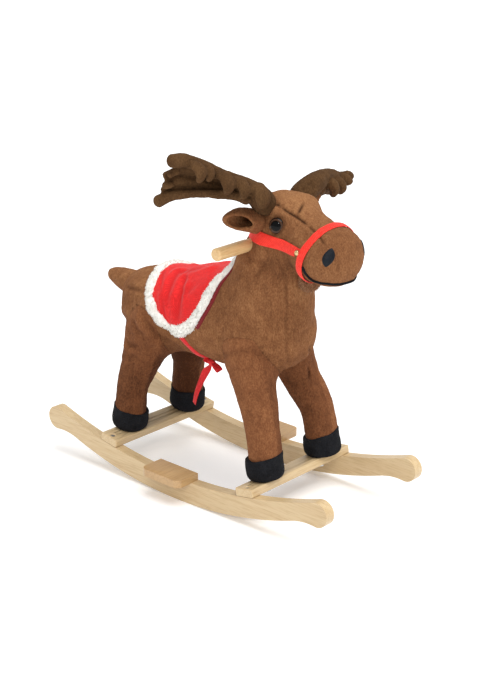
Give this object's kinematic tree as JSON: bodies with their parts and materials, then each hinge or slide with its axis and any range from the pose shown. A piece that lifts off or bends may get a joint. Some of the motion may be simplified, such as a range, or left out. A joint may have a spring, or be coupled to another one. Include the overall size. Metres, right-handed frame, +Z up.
{
  "type": "rocking animal",
  "caption": "Child's stuffed plush moose with floppy antlers, bridle and fur-trimmed saddle, standing on curved wooden rockers with cross slats, footrests and a dowel handle.",
  "frame": {"origin": "on the floor, midway along the rockers and midway between the antler tips, which is within 3 mm of the rockers' centre plane", "axes": "+X forward along the rockers towards the animal's nose, +Y to the animal's left, +Z up"},
  "size_m": [0.68, 0.4736, 0.6588],
  "materials": {
    "pine_board": "sanded pine, clear satin varnish",
    "beech_dowel": "bare beech",
    "inner_timber": "bare sawn softwood, hidden inside the plush",
    "steel_zinc": "zinc plated steel",
    "plush_brown": "short-pile mid-brown plush",
    "plush_leg": "short-pile reddish-brown plush",
    "velour_antler": "wrinkled olive-brown velour",
    "felt_black": "black felt",
    "gloss_eye": "glossy black plastic with a brown ring",
    "plush_beard": "longer light-brown pile",
    "webbing_red": "woven red webbing",
    "rivet_brass": "pressed brass",
    "saddle_red": "red brushed fleece",
    "faux_fur_white": "off-white long-pile faux fur",
    "ribbon_red": "dark red woven ribbon"
  },
  "bodies": {
    "root": {"rocker_right": "pine_board", "rocker_left": "pine_board", "slat_front": "pine_board", "slat_rear": "pine_board", "footrest_right": "pine_board", "footrest_left": "pine_board", "slat_screws": "steel_zinc", "footrest_dowels": "beech_dowel", "leg_bolts": "steel_zinc", "leg_washers": "steel_zinc", "leg_post_front_right": "inner_timber", "leg_post_front_left": "inner_timber", "leg_post_rear_right": "inner_timber", "leg_post_rear_left": "inner_timber", "cross_block_front": "inner_timber", "cross_block_rear": "inner_timber", "spine_board": "inner_timber", "spine_screws": "steel_zinc", "neck_post": "inner_timber", "neck_screws": "steel_zinc", "handle_bar": "pine_board", "handle_pins": "steel_zinc", "torso_plush": "plush_brown", "neck_plush": "plush_brown", "head_plush": "plush_brown", "leg_front_right": "plush_leg", "leg_front_left": "plush_leg", "leg_rear_right": "plush_leg", "leg_rear_left": "plush_leg", "hoof_front_right": "felt_black", "hoof_front_left": "felt_black", "hoof_rear_right": "felt_black", "hoof_rear_left": "felt_black", "tail": "plush_brown", "ear_right": "plush_brown", "ear_left": "plush_brown", "antler_right": "velour_antler", "antler_left": "velour_antler", "eye_right": "gloss_eye", "eye_left": "gloss_eye", "nostril_right": "felt_black", "nostril_left": "felt_black", "mouth_piping": "felt_black", "beard": "plush_beard", "noseband": "webbing_red", "headstall": "webbing_red", "bridle_rivets": "rivet_brass", "saddle_cloth": "saddle_red", "saddle_trim": "faux_fur_white", "girth_strap": "ribbon_red", "girth_bow": "ribbon_red", "tie_ribbon": "ribbon_red"}
  },
  "joints": []
}
